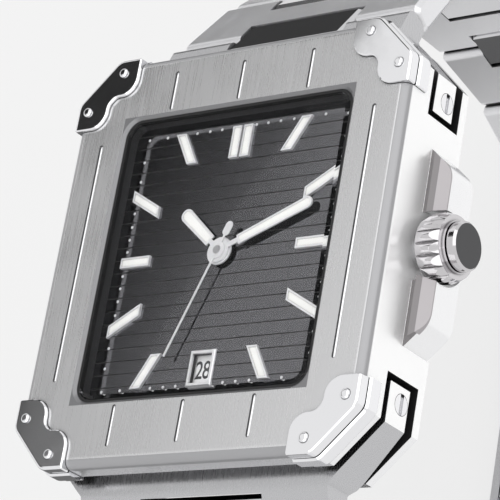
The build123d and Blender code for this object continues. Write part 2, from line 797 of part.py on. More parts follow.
def make_clasp_cover(six_pin):
    """The outer cover: a tray with hinge lugs at one end and the tongue at the other."""
    half = clasp_width / 2
    floor_top = clasp_floor_z + clasp_wall
    tray = block(-half, half, clasp_end_y, clasp_start_y, clasp_floor_z, clasp_rim_z)
    tray = chamfer(tray.faces().sort_by(Axis.Z)[0].edges(), clasp_edge_bevel)
    tray -= block(clasp_wall - half, half - clasp_wall, clasp_end_y - overrun,
                  clasp_start_y + overrun, floor_top, clasp_rim_z + overrun)
    neck = blade_knuckle_half_width + knuckle_gap
    lug = blade_knuckle_radius
    for side in (-1, 1):
        x0, x1 = sorted((side * neck, side * blade_half_width))
        tray += block(x0, x1, cover_hinge_y - lug, cover_hinge_y + lug,
                      floor_top, cover_hinge_z)
        tray += rod((x0, cover_hinge_y, cover_hinge_z), (x1, cover_hinge_y, cover_hinge_z),
                    lug)
        x0, x1 = sorted((side * (half - clasp_wall - overrun), side * (half + overrun)))
        reach = pusher_half_length + pusher_gap
        tall = pusher_height / 2 + pusher_gap
        tray -= block(x0, x1, -reach, reach, pusher_z - tall, pusher_z + tall)
    tray -= rod((-blade_half_width, cover_hinge_y, cover_hinge_z),
                (blade_half_width, cover_hinge_y, cover_hinge_z), pin_radius + seat_gap)
    wide = tongue_half_width
    pivot_y = -six_pin[0]
    tray += block(-wide, wide, clasp_end_y, clasp_end_y + tongue_wall,
                  clasp_floor_z + clasp_edge_bevel, six_pin[1] + tongue_pivot_radius)
    tray += block(-wide, wide, pivot_y, clasp_end_y + tongue_wall,
                  six_pin[1] - tongue_pivot_radius, six_pin[1] + tongue_pivot_radius)
    tray += rod((-wide, pivot_y, six_pin[1]), (wide, pivot_y, six_pin[1]),
                tongue_pivot_radius)
    bar = rod((-blade_half_width, cover_hinge_y, cover_hinge_z),
              (blade_half_width, cover_hinge_y, cover_hinge_z), pin_radius)
    return [tray, bar]


def make_pusher(side):
    """A flat push piece in the cover's side wall, flanged inside."""
    x0, x1 = sorted((side * pusher_inner_x, side * pusher_outer_x))
    tall = pusher_height / 2
    body = block(x0, x1, -pusher_half_length, pusher_half_length,
                 pusher_z - tall, pusher_z + tall)
    face = body.faces().sort_by(Axis.X)[-1 if side > 0 else 0]
    body = chamfer(face.edges(), clasp_edge_bevel / 2)
    x0, x1 = sorted((side * pusher_inner_x, side * pusher_flange_x))
    reach = pusher_half_length + pusher_flange_reach
    tall += pusher_flange_reach
    return body + block(x0, x1, -reach, reach, pusher_z - tall, pusher_z + tall)


def marker_outline(hour, trim):
    """A radial bar cut off level at both ends, narrowed all round by trim."""
    turn = math.radians(30 * hour)
    half = marker_half_width - trim
    upright = abs(math.cos(turn)) > math.cos(math.radians(45))
    if upright:
        sign = 1 if math.cos(turn) > 0 else -1
        near = sign * (row_inner_y + trim)
        far = sign * (row_outer_y - trim)
        lean = math.tan(turn)
        wide = half / abs(math.cos(turn))
        return [(near * lean - wide, near), (near * lean + wide, near),
                (far * lean + wide, far), (far * lean - wide, far)]
    sign = 1 if math.sin(turn) > 0 else -1
    near = sign * (column_inner_x + trim)
    far = sign * (column_outer_x - trim)
    lean = 1 / math.tan(turn)
    wide = half / abs(math.sin(turn))
    return [(near, near * lean - wide), (near, near * lean + wide),
            (far, far * lean + wide), (far, far * lean - wide)]


def double_outline(side, trim):
    """One of the two bars at twelve o'clock."""
    x0 = side * (double_inner_x + trim)
    x1 = side * (double_outer_x - trim)
    return [(x0, row_inner_y + trim), (x1, row_inner_y + trim),
            (x1, row_outer_y - trim), (x0, row_outer_y - trim)]


def make_markers():
    """Steel hour markers with a recess for the luminous fill, and the fills."""
    steel = []
    fill = []
    outlines = [(marker_outline(hour, 0), marker_outline(hour, marker_wall))
                for hour in (1, 2, 3, 4, 5, 7, 8, 9, 10, 11)]
    outlines += [(double_outline(side, 0), double_outline(side, marker_wall))
                 for side in (-1, 1)]
    top = dial_top_z + marker_height
    floor = top - marker_recess
    for outer, inner in outlines:
        steel.append(prism(outer, dial_top_z, top) - prism(inner, floor, top + overrun))
        fill.append(prism(inner, floor, top - lume_drop))
    return steel, fill


def make_dial():
    """The grooved dial plate with its centre hole and date window."""
    width = opening_width - 2 * dial_edge_gap
    length = opening_length - 2 * dial_edge_gap
    low = dial_top_z - dial_thickness
    plate = slab(width, length, opening_radius - dial_edge_gap, low, dial_top_z)
    count = int(length / dial_groove_pitch / 2) + 1
    for step in range(-count, count + 1):
        y = dial_groove_phase + step * dial_groove_pitch
        if abs(y) < length / 2 - dial_groove_pitch / 2:
            plate -= block(-width, width, y - dial_groove_width / 2,
                           y + dial_groove_width / 2,
                           dial_top_z - dial_groove_depth, dial_top_z + overrun)
    plate -= post(0, 0, low - overrun, dial_top_z + overrun, dial_hole_radius)
    plate -= block(-window_width / 2, window_width / 2,
                   window_centre_y - window_height / 2,
                   window_centre_y + window_height / 2,
                   low - overrun, dial_top_z + overrun)
    return plate


def make_date_frame():
    """The polished frame round the date window."""
    x = window_width / 2
    y = window_height / 2
    wall = window_wall
    top = dial_top_z + window_frame_height
    frame = block(-x - wall, x + wall, window_centre_y - y - wall,
                  window_centre_y + y + wall, dial_top_z, top)
    frame = chamfer(frame.faces().sort_by(Axis.Z)[-1].edges(), wall / 3)
    return frame - block(-x, x, window_centre_y - y, window_centre_y + y,
                         dial_top_z - overrun, top + overrun)


def baton(base, tip, width, z):
    """A hand's blade from above, round at the tip and narrowed at the base."""
    end = tip - width / 2
    start_half = width / 2 - hand_wall / 2
    blade = make_face(Polyline((-start_half, base), (-width / 2, end), (width / 2, end),
                               (start_half, base), close=True))
    return Pos(0, 0, z) * (blade + Pos(0, end) * Circle(width / 2))


def make_hand(base, tip, width, boss, bore, z, angle):
    """A hand with a recessed fill, and the fill."""
    body = extrude(baton(base, tip, width, z), hand_thickness, dir=(0, 0, 1))
    neck = block(-hand_neck_width / 2, hand_neck_width / 2, 0, base + hand_wall,
                 z, z + hand_thickness)
    body += neck
    body += post(0, 0, z, z + hand_thickness, boss)
    top = z + hand_thickness
    floor = top - hand_recess
    inset = baton(base + hand_wall, tip - hand_wall, width - 2 * hand_wall, floor)
    body -= extrude(inset, hand_recess + overrun, dir=(0, 0, 1))
    body -= post(0, 0, z - overrun, top + overrun, bore)
    fill = extrude(inset, hand_recess - lume_drop / 2, dir=(0, 0, 1))
    return turned(body, angle), turned(fill, angle)


def make_seconds_hand():
    """A thin pointer with a round boss and a rounded counterweight bar."""
    z = seconds_hand_z
    top = z + hand_thickness / 2
    body = block(-seconds_width / 2, seconds_width / 2, -seconds_tail + overrun,
                 seconds_length, z, top)
    tail_y = -seconds_tail + seconds_tail_length / 2
    tail = Pos(0, tail_y, z) * SlotOverall(seconds_tail_length, seconds_tail_width,
                                           rotation=90)
    body += extrude(tail, top - z, dir=(0, 0, 1))
    body += post(0, 0, z, top, seconds_boss_radius)
    body -= post(0, 0, z - overrun, top + overrun, arbor_radius + seat_gap / 2)
    return turned(body, seconds_hand_angle)


def make_crown():
    """The crown: a barrel of rounded flutes, a step ring and a flat cap."""
    low = crown_radius - crown_end_drop
    swell = crown_base_x + crown_end_round
    ease = crown_rim_x - crown_end_round
    step_x = crown_rim_x + crown_step_height
    groove_x = step_x + crown_groove_width
    points = [(crown_base_x, 0), (crown_base_x, low), (swell, crown_radius),
              (ease, crown_radius), (crown_rim_x, low), (crown_rim_x, 0)]
    barrel = revolve(make_face(Polyline(*[(x, 0, r) for x, r in points], close=True)), Axis.X)
    root = crown_radius - crown_lobe_radius
    fluted = rod((crown_base_x, 0, 0), (crown_rim_x, 0, 0), root + crown_lobe_radius / 3)
    for step in range(crown_flutes):
        turn = 2 * math.pi * step / crown_flutes
        y = root * math.cos(turn)
        z = root * math.sin(turn)
        fluted += rod((crown_base_x, y, z), (crown_rim_x, y, z), crown_lobe_radius)
    body = barrel & fluted
    points = [(crown_rim_x - overrun, 0), (crown_rim_x - overrun, crown_step_radius),
              (step_x, crown_step_radius),
              (step_x, crown_cap_radius - crown_groove_depth),
              (groove_x, crown_cap_radius - crown_groove_depth),
              (groove_x, crown_cap_radius), (crown_face_x - crown_cap_bevel, crown_cap_radius),
              (crown_face_x, crown_cap_radius - crown_cap_bevel), (crown_face_x, 0)]
    body += revolve(make_face(Polyline(*[(x, 0, r) for x, r in points], close=True)), Axis.X)
    body -= rod((crown_base_x - overrun, 0, 0), (crown_base_x + crown_bore_depth, 0, 0),
                crown_bore_radius)
    body -= rod((crown_base_x, 0, 0), (crown_rim_x, 0, 0), stem_radius + seat_gap / 2)
    return Pos(0, 0, crown_axis_z) * body


def make_stem():
    """The winding stem, with the groove that the clip holds."""
    body = rod((stem_inner_x, 0, crown_axis_z),
               (crown_rim_x - seat_gap, 0, crown_axis_z), stem_radius)
    x0 = stem_groove_x - stem_groove_width / 2
    x1 = stem_groove_x + stem_groove_width / 2
    ring = rod((x0, 0, crown_axis_z), (x1, 0, crown_axis_z), stem_radius + overrun)
    ring -= rod((x0, 0, crown_axis_z), (x1, 0, crown_axis_z), stem_groove_radius)
    return body - ring


def make_clip():
    """The fork that holds the stem by its groove and slides with it."""
    x0 = stem_groove_x - clip_thickness / 2
    x1 = stem_groove_x + clip_thickness / 2
    reach = stem_groove_radius + running_gap
    body = block(x0, x1, -clip_half_width, clip_half_width,
                 crown_axis_z - clip_height, crown_axis_z + reach)
    body -= block(x0 - overrun, x1 + overrun, -reach, reach,
                  crown_axis_z, crown_axis_z + clip_height)
    body -= rod((x0 - overrun, 0, crown_axis_z), (x1 + overrun, 0, crown_axis_z), reach)
    return body


def make_tube():
    """The tube pressed into the case side, on which the crown slides."""
    body = rod((tube_inner_x, 0, crown_axis_z), (tube_outer_x, 0, crown_axis_z), tube_radius)
    return body - rod((tube_inner_x, 0, crown_axis_z), (tube_outer_x, 0, crown_axis_z),
                      tube_bore_radius)


def make_case_back():
    """The back plate with the spigot that enters the cavity."""
    body = slab(back_width, back_length, back_radius, 0, case_bottom_z)
    body = chamfer(body.faces().sort_by(Axis.Z)[0].edges(), bezel_edge_radius / 2)
    inset = 2 * spigot_gap
    body += slab(cavity_width - inset, cavity_length - inset, cavity_radius - spigot_gap,
                 0, case_bottom_z + spigot_height)
    for x in (-back_screw_x, back_screw_x):
        for y in (-back_screw_y, back_screw_y):
            body -= post(x, y, -overrun, case_bottom_z + overrun,
                         back_screw_radius + seat_gap)
            body -= post(x, y, -overrun, back_screw_head_height,
                         back_screw_head_radius + seat_gap)
    return body


def make_back_screws():
    """Four flush screws that hold the back."""
    screws = []
    for x in (-back_screw_x, back_screw_x):
        for y in (-back_screw_y, back_screw_y):
            screw = post(x, y, seat_gap, back_screw_head_height - seat_gap,
                         back_screw_head_radius)
            screw += post(x, y, seat_gap, back_screw_length, back_screw_radius)
            screw -= block(x - back_screw_head_radius, x + back_screw_head_radius,
                           y - back_driver_slot / 2, y + back_driver_slot / 2,
                           -overrun, back_screw_head_height / 2)
            screws.append(screw)
    return screws


def make_back_gasket():
    """The seal between the spigot and the case wall."""
    low = case_bottom_z + seat_gap
    high = case_bottom_z + spigot_height
    gap = 2 * seat_gap
    ring = slab(cavity_width - gap, cavity_length - gap, cavity_radius - seat_gap, low, high)
    inset = 2 * (spigot_gap - seat_gap)
    return ring - slab(cavity_width - inset, cavity_length - inset,
                       cavity_radius - spigot_gap + seat_gap, low - overrun, high + overrun)


def make_movement_plate():
    """The movement's main plate with a recess for the motion work and the keyless work."""
    body = post(0, 0, plate_bottom_z, plate_top_z, movement_radius)
    body -= post(0, 0, plate_top_z - plate_recess_depth, plate_top_z + overrun,
                 plate_recess_radius)
    body -= post(0, 0, plate_bottom_z - overrun, plate_top_z, arbor_radius + running_gap)
    trench = stem_radius + running_gap
    body -= block(stem_inner_x - overrun, movement_radius + overrun, -trench, trench,
                  plate_bottom_z - overrun, crown_axis_z + trench)
    x0 = stem_groove_x - clip_thickness
    x1 = stem_groove_x + crown_travel + clip_thickness
    reach = clip_half_width + running_gap
    body -= block(x0, x1, -reach, reach, plate_bottom_z - overrun,
                  crown_axis_z + trench)
    body -= post(rotor_x, rotor_y, plate_bottom_z - overrun,
                 plate_bottom_z + rotor_height / 2, rotor_axle_radius + running_gap)
    return body


def make_holder():
    """The plastic ring that seats the round movement in the square case."""
    gap = 2 * seat_gap
    body = slab(cavity_width - gap, cavity_length - gap, cavity_radius - seat_gap,
                holder_bottom_z, case_top_z - seat_gap)
    body += slab(opening_width - 2 * dial_edge_gap, opening_length - 2 * dial_edge_gap,
                 opening_radius - dial_edge_gap, holder_bottom_z, holder_top_z)
    body -= post(0, 0, holder_bottom_z - overrun, holder_top_z + overrun,
                 disc_outer_radius + running_gap)
    body -= rod((0, 0, crown_axis_z), (cavity_width, 0, crown_axis_z),
                tube_radius + seat_gap)
    return body


def make_coil():
    """The stepping motor's winding on its core, and the stator plate beside it."""
    z = plate_bottom_z - seat_gap - coil_radius
    half = coil_length / 2
    winding = rod((coil_x - half, coil_y, z), (coil_x + half, coil_y, z), coil_radius)
    reach = core_length / 2
    core = rod((coil_x - reach, coil_y, z), (coil_x + reach, coil_y, z), core_radius)
    winding -= rod((coil_x - half, coil_y, z), (coil_x + half, coil_y, z),
                   core_radius + seat_gap)
    top = plate_bottom_z - seat_gap
    low = top - stator_thickness
    stator = block(coil_x - reach, coil_x + reach, rotor_y - stator_width / 2,
                   rotor_y + stator_width / 2, low, top)
    stator -= post(rotor_x, rotor_y, low - overrun, top + overrun,
                   rotor_radius + rotor_hole_gap)
    half_leg = stator_width / 4
    for x in (coil_x - reach + half_leg, coil_x + reach - half_leg):
        leg = block(x - half_leg, x + half_leg, coil_y - core_radius, rotor_y, low, top)
        stator += leg
    stator -= post(rotor_x, rotor_y, low - overrun, top + overrun,
                   rotor_radius + rotor_hole_gap)
    core_top = z + core_radius
    for x in (coil_x - reach + half_leg, coil_x + reach - half_leg):
        core += block(x - half_leg, x + half_leg, coil_y - core_radius,
                      coil_y + core_radius, z, max(core_top, low - seat_gap / 2))
    return [winding, core, stator]


def make_rotor():
    """The stepping motor's magnet rotor on its axle."""
    top = plate_bottom_z - 2 * seat_gap
    body = post(rotor_x, rotor_y, top - rotor_height, top, rotor_radius)
    body += post(rotor_x, rotor_y, bridge_bottom_z + bridge_thickness / 2,
                 plate_bottom_z + rotor_height / 3, rotor_axle_radius)
    return body


def strip(start, end, half, z0, z1):
    """A flat bar with round ends between two points."""
    run = math.dist(start, end)
    angle = math.degrees(math.atan2(end[1] - start[1], end[0] - start[0]))
    plan = (Pos(start[0], start[1], z0) * Rot(0, 0, angle) * Pos(run / 2, 0)
            * SlotOverall(run + 2 * half, 2 * half))
    return extrude(plan, z1 - z0, dir=(0, 0, 1))


def make_bridge():
    """The bridge that carries the lower pivots of the rotor and the seconds arbor."""
    top = bridge_bottom_z + bridge_thickness
    near = (bridge_near_x, bridge_near_y)
    far = (bridge_far_x, bridge_far_y)
    turn = (rotor_x, rotor_y)
    bar = strip(near, turn, bridge_half_width, bridge_bottom_z, top)
    bar += strip(turn, far, bridge_half_width, bridge_bottom_z, top)
    for x, y in (near, far):
        bar += post(x, y, bridge_bottom_z, plate_bottom_z - seat_gap / 2,
                    bridge_post_radius)
    bar -= post(0, 0, bridge_bottom_z - overrun, top + overrun, arbor_radius + running_gap)
    bar -= post(rotor_x, rotor_y, bridge_bottom_z - overrun, top + overrun,
                rotor_axle_radius + running_gap)
    return bar


os.makedirs("parts", exist_ok=True)

save("case_middle", make_case_middle())
save("bezel", make_bezel())
guards = four_corners(make_guard())
for name, guard in zip(("guard_12_right", "guard_6_right", "guard_12_left", "guard_6_left"),
                       guards):
    save(name, guard)
save("guard_studs", *[one for stud in make_studs() for one in four_corners(stud)])

crystal = slab(crystal_width, crystal_length, crystal_radius, crystal_bottom_z,
               crystal_top_z)
save("crystal", chamfer(crystal.faces().sort_by(Axis.Z)[-1].edges(), stud_dome))
seal = slab(opening_width - 2 * seat_gap, opening_length - 2 * seat_gap,
            opening_radius - seat_gap, crystal_bottom_z, crystal_top_z - gasket_drop)
seal -= slab(crystal_width + 2 * seat_gap, crystal_length + 2 * seat_gap,
             crystal_radius + seat_gap, crystal_bottom_z - overrun, crystal_top_z)
save("crystal_gasket", seal)
ring_width = opening_width - 2 * dial_edge_gap
ring_length = opening_length - 2 * dial_edge_gap
inner_ring = slab(ring_width, ring_length, opening_radius - dial_edge_gap,
                  dial_top_z, crystal_bottom_z)
inner_ring -= slab(ring_width - 2 * ring_wall, ring_length - 2 * ring_wall,
                   opening_radius - ring_wall, dial_top_z - overrun,
                   crystal_bottom_z + overrun)
save("inner_ring", inner_ring)
save("dial", make_dial())
markers, fills = make_markers()
save("hour_markers", *markers)
save("marker_lume", *fills)
save("date_frame", make_date_frame())

hour_hand, hour_lume = make_hand(hour_hand_base, hour_hand_length, hour_hand_width,
                                 hour_boss_radius, hour_pipe_radius + seat_gap / 2,
                                 hour_hand_z, hour_hand_angle)
save("hour_hand", hour_hand)
save("hour_hand_lume", hour_lume)
minute_hand, minute_lume = make_hand(minute_hand_base, minute_hand_length,
                                     minute_hand_width, minute_boss_radius,
                                     minute_pipe_radius + seat_gap / 2, minute_hand_z,
                                     minute_hand_angle)
save("minute_hand", minute_hand)
save("minute_hand_lume", minute_lume)
save("seconds_hand", make_seconds_hand())

wheel_z = plate_top_z + seat_gap
hour_wheel = post(0, 0, wheel_z, wheel_z + hour_wheel_thickness, hour_wheel_radius)
hour_wheel += post(0, 0, wheel_z, hour_hand_z + hand_thickness, hour_pipe_radius)
hour_wheel -= post(0, 0, wheel_z - overrun, hour_hand_z + overrun,
                   minute_pipe_radius + running_gap)
save("hour_wheel", hour_wheel)
pinion_z = plate_top_z - plate_recess_depth + seat_gap
cannon = post(0, 0, pinion_z, wheel_z - seat_gap, pinion_radius)
cannon += post(0, 0, pinion_z, minute_hand_z + hand_thickness, minute_pipe_radius)
cannon -= post(0, 0, pinion_z - overrun, minute_hand_z + overrun,
               arbor_radius + running_gap)
save("cannon_pinion", cannon)
arbor = post(0, 0, bridge_bottom_z + bridge_thickness / 2,
             seconds_hand_z + hand_thickness / 2, arbor_radius)
arbor += post(0, 0, seconds_hand_z + hand_thickness / 2,
              seconds_hand_z + hand_thickness / 2 + seconds_cap_height, seconds_cap_radius)
arbor += post(0, 0, seconds_wheel_z, seconds_wheel_z + wheel_thickness,
              seconds_wheel_radius)
save("seconds_arbor", arbor)
disc_z = plate_top_z + disc_seat_gap
date_disc = post(0, 0, disc_z, disc_z + disc_thickness, disc_outer_radius)
date_disc -= post(0, 0, disc_z - overrun, disc_z + overrun, disc_inner_radius)
save("date_disc", date_disc)

save("movement_plate", make_movement_plate())
save("movement_holder", make_holder())
save("circuit_board", block(board_left_x, board_right_x, board_bottom_y, board_top_y,
                            plate_bottom_z - seat_gap - board_thickness,
                            plate_bottom_z - seat_gap))
battery_top = plate_bottom_z - seat_gap
battery = post(battery_x, battery_y, battery_top - battery_thickness, battery_top,
               battery_radius)
save("battery", chamfer(battery.edges().sort_by(Axis.Z)[0], battery_thickness / 8))
save("stepper_coil", *make_coil())
save("step_rotor", make_rotor())
save("train_bridge", make_bridge())

save("crown", make_crown())
save("stem", make_stem())
save("stem_clip", make_clip())
save("crown_tube", make_tube())
save("case_back", make_case_back())
save("back_gasket", make_back_gasket())
save("back_screws", *make_back_screws())
save("lug_screws", *make_lug_screws())

sides = (("12", 1, twelve_angles, twelve_pins), ("6", -1, six_angles, six_pins))
for name, side, angles, pins in sides:
    end = make_end_link(len(angles))
    save(f"end_link_{name}", Rot(0, 0, 0 if side > 0 else 180) * end)
    for index, angle in enumerate(angles):
        stand = place_link(angle, pins[index], side)
        pieces = [stand * piece for piece in make_link(index, len(angles))]
        save(f"link_{name}_{index + 1}", *pieces)
    print(name, "pins", [(round(side * y, 3), round(z, 3)) for y, z in pins])

save("long_blade", *make_long_blade(twelve_pins[-1]))
save("short_blade", *make_short_blade())
save("clasp_cover", *make_clasp_cover(six_pins[-1]))
save("pusher_right", make_pusher(1))
save("pusher_left", make_pusher(-1))
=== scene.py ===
# %% [markdown]
# # A square steel watch on a closed bracelet
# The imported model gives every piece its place. It is loaded first and stays as it is: the
# looks are materials on its nodes, and finer pieces that ride on its bodies.

# %% Load the frame
import math

import bpy
import numpy as np
from mathutils import Matrix, Vector


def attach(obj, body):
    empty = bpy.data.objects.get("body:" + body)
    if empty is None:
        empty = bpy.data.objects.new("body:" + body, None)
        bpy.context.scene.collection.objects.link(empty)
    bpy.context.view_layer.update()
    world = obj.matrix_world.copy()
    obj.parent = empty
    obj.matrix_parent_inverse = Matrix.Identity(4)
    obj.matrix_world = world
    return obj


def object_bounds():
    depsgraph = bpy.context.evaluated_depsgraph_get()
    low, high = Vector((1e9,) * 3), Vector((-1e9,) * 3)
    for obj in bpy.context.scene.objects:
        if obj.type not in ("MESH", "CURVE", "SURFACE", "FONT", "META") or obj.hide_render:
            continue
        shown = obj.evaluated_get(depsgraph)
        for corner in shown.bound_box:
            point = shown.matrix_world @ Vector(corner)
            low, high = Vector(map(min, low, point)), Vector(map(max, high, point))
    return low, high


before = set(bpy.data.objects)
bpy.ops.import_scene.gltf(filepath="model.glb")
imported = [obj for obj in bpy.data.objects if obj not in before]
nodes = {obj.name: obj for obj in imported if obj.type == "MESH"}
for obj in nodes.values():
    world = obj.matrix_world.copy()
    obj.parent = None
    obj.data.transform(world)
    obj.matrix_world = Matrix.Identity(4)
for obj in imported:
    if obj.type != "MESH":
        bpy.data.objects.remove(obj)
cad_box = [list(corner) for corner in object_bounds()]
MM = 0.001

# %% [markdown]
# The camera stands where the photographer's did: about 26 cm from the watch, over its lower
# right corner, with a long lens, so the square case looks nearly without perspective.

# %% Camera
camera = bpy.data.objects.new("camera", bpy.data.cameras.new("camera"))
bpy.context.scene.collection.objects.link(camera)
camera.location = (0.158918, -0.091577, 0.191807)
camera.rotation_euler = [math.radians(a) for a in (28.0816, 36.1735, 11.6481)]
camera.data.lens = 198.345
camera.data.sensor_width = 36.0
camera.data.clip_start = 0.01
camera.data.clip_end = 20.0
bpy.context.scene.camera = camera
print("camera at", [round(v, 4) for v in camera.location])

# %% [markdown]
# Colours are written as sRGB hex, as a colour picker shows them, and turned to the linear
# values that Cycles adds up.

# %% Colour and node helpers
def linear(code):
    """An sRGB hex colour as linear RGBA: each channel over 12.92 near black, else a 2.4 power."""
    channels = [int(code[i:i + 2], 16) / 255 for i in (1, 3, 5)]
    return tuple(c / 12.92 if c <= 0.04045 else ((c + 0.055) / 1.055) ** 2.4
                 for c in channels) + (1.0,)


def add(tree, kind, settings=None, links=None):
    """One node with its settings and the sockets that feed it."""
    node = tree.nodes.new(kind)
    for key, value in (settings or {}).items():
        if isinstance(key, int) or key in node.inputs:
            node.inputs[key].default_value = value
        else:
            setattr(node, key, value)
    for key, source in (links or {}).items():
        tree.links.new(source, node.inputs[key])
    return node


def new_material(name):
    """An empty material with its output node."""
    material = bpy.data.materials.new(name)
    material.use_nodes = True
    material.node_tree.nodes.clear()
    return material, material.node_tree, add(material.node_tree, "ShaderNodeOutputMaterial")


def dress(node_name, material):
    """Puts the material on a CAD node in place of its own."""
    slots = nodes[node_name].data.materials
    slots.clear()
    slots.append(material)
    return material


def zone(tree, place, tests):
    """1 where every test holds, else 0: each is an axis, a comparison and a limit in mm.

    An axis written as |X| stands for the distance from the middle plane.
    """
    parts = add(tree, "ShaderNodeSeparateXYZ", {}, {"Vector": place})
    result = None
    for axis, kind, limit in tests:
        value = parts.outputs[axis.strip("|")]
        if axis.startswith("|"):
            value = add(tree, "ShaderNodeMath", {"operation": "ABSOLUTE"},
                        {0: value}).outputs["Value"]
        test = add(tree, "ShaderNodeMath", {"operation": kind, 1: limit * MM}, {0: value})
        if result is not None:
            test = add(tree, "ShaderNodeMath", {"operation": "MULTIPLY"},
                       {0: result, 1: test.outputs["Value"]})
        result = test.outputs["Value"]
    return result


def crevice(tree, colour, reach=0.7, floor=0.12, start=0.35, end=0.85, own=False):
    """The colour, darkened where nearby walls close in within reach millimetres.

    The darkening is painted shade where a seam or a groove closes in. The occlusion of each
    point, from start to end, scales the colour from floor to 1. own counts only the walls of the
    same piece.
    """
    shade = add(tree, "ShaderNodeAmbientOcclusion",
                {"Distance": reach * MM, "samples": 6, "only_local": own})
    level = add(tree, "ShaderNodeMapRange",
                {"From Min": start, "From Max": end, "To Min": floor, "To Max": 1.0},
                {"Value": shade.outputs["AO"]})
    return add(tree, "ShaderNodeHueSaturation", {"Color": linear(colour)},
               {"Value": level.outputs["Result"]}).outputs["Color"]


def looked_at(tree):
    """1 for rays from the camera, a mirror or a clear pane, else 0."""
    path = add(tree, "ShaderNodeLightPath")
    seen = add(tree, "ShaderNodeMath", {"operation": "MAXIMUM"},
               {0: path.outputs["Is Camera Ray"], 1: path.outputs["Is Glossy Ray"]})
    return add(tree, "ShaderNodeMath", {"operation": "MAXIMUM"},
               {0: seen.outputs["Value"],
                1: path.outputs["Is Transmission Ray"]}).outputs["Value"]

# %% [markdown]
# ## Steel
# Everything outside is 316L stainless steel. Most of it is brushed on an abrasive belt, which
# leaves fine lines in one direction: light smears across them. A noise texture squeezed across
# the lines and drawn out along them gives that, as bump and as roughness. The lines are drawn
# about 0.09 mm wide, a little coarser than real ones, so that they show. Every seam and groove
# gets painted shade. Single faces get painted light: sides that mirror the pale card are painted
# white as a highlight, rounded edges painted grey and recesses painted dark as shade.

# %% Brushed and polished steel
def steel(name, colour, rough, along=1, turn=(0, 0, 0), shift=(0, 0, 0), gloss_zone=None,
          line=0.09, run=6.0, depth=0.0011, tone_and_painted_light_zones=()):
    """Stainless steel brushed along one axis of its own frame.

    turn and shift carry object coordinates into that frame. gloss_zone holds the tests of a
    polished area. Each zone of the last argument holds a colour, a roughness and the tests of a
    face lit up by a painted highlight, or of an edge or a recess darkened by painted shade.
    edge or a face with a tone of its own.
    """
    material, tree, output = new_material(name)
    where = add(tree, "ShaderNodeTexCoord")
    own = add(tree, "ShaderNodeMapping", {"Rotation": turn, "Location": shift},
              {"Vector": where.outputs["Object"]})
    scale = [1 / (line * MM)] * 3
    scale[along] = 1 / (run * MM)
    stretched = add(tree, "ShaderNodeMapping", {"Scale": scale},
                    {"Vector": own.outputs["Vector"]})
    grain = add(tree, "ShaderNodeTexNoise", {"Scale": 1.0, "Detail": 3.0, "Roughness": 0.6},
                {"Vector": stretched.outputs["Vector"]})
    cloud = add(tree, "ShaderNodeTexNoise", {"Scale": 1 / (9 * MM), "Detail": 2.0},
                {"Vector": own.outputs["Vector"]})
    base = add(tree, "ShaderNodeMapRange",
               {"From Min": 0.3, "From Max": 0.7, "To Min": rough - 0.04, "To Max": rough + 0.05},
               {"Value": grain.outputs["Fac"]})
    smear = add(tree, "ShaderNodeMapRange",
                {"From Min": 0.35, "From Max": 0.65, "To Min": -0.015, "To Max": 0.02},
                {"Value": cloud.outputs["Fac"]})
    roughness = add(tree, "ShaderNodeMath", {"operation": "ADD"},
                    {0: base.outputs["Result"], 1: smear.outputs["Result"]})
    bump = add(tree, "ShaderNodeBump", {"Strength": 1.0, "Distance": depth * MM},
               {"Height": grain.outputs["Fac"]})
    # Painted shade: the steel's colour darkens where walls close in.
    tint = crevice(tree, colour)
    shader = add(tree, "ShaderNodeBsdfPrincipled", {"Metallic": 1.0},
                 {"Base Color": tint, "Roughness": roughness.outputs["Value"],
                  "Normal": bump.outputs["Normal"]})
    surface = shader.outputs["BSDF"]
    if gloss_zone:
        gloss = mirror_nodes(tree, own, "#d4d4d6", 0.06)
        surface = add(tree, "ShaderNodeMixShader", {},
                      {0: zone(tree, own.outputs["Vector"], gloss_zone), 1: surface,
                       2: gloss.outputs["BSDF"]}).outputs["Shader"]
    for tone_colour, tone_rough, tests in tone_and_painted_light_zones:
        tone = add(tree, "ShaderNodeBsdfPrincipled",
                   {"Base Color": linear(tone_colour), "Roughness": tone_rough,
                    "Metallic": 0.5}, {"Normal": bump.outputs["Normal"]})
        surface = add(tree, "ShaderNodeMixShader", {},
                      {0: zone(tree, own.outputs["Vector"], tests), 1: surface,
                       2: tone.outputs["BSDF"]}).outputs["Shader"]
    tree.links.new(surface, output.inputs["Surface"])
    return material


def mirror_nodes(tree, own, colour, rough):
    """Buffed steel: a mirror with faint handling haze that varies over a few millimetres, and
    painted shade where walls close in.
    """
    haze = add(tree, "ShaderNodeTexNoise",
               {"Scale": 1 / (4 * MM), "Detail": 5.0, "Roughness": 0.65},
               {"Vector": own.outputs["Vector"]})
    dull = add(tree, "ShaderNodeMapRange",
               {"From Min": 0.35, "From Max": 0.7, "To Min": rough * 0.7, "To Max": rough * 1.6},
               {"Value": haze.outputs["Fac"]})
    return add(tree, "ShaderNodeBsdfPrincipled", {"Metallic": 1.0},
               {"Base Color": crevice(tree, colour, reach=0.35, floor=0.3),
                "Roughness": dull.outputs["Result"]})


def polished(name, colour="#f0f0f2", rough=0.05, tone_and_painted_light_zones=()):
    """Stainless steel buffed to a mirror, with the colour and tests of any matt area: a dark
    cap's own colour, or a rim's painted shade.
    """
    material, tree, output = new_material(name)
    where = add(tree, "ShaderNodeTexCoord")
    own = add(tree, "ShaderNodeMapping", {}, {"Vector": where.outputs["Object"]})
    surface = mirror_nodes(tree, own, colour, rough).outputs["BSDF"]
    for tone_colour, tests in tone_and_painted_light_zones:
        tone = add(tree, "ShaderNodeBsdfPrincipled",
                   {"Base Color": linear(tone_colour), "Roughness": 0.5})
        surface = add(tree, "ShaderNodeMixShader", {},
                      {0: zone(tree, own.outputs["Vector"], tests), 1: surface,
                       2: tone.outputs["BSDF"]}).outputs["Shader"]
    tree.links.new(surface, output.inputs["Surface"])
    return material
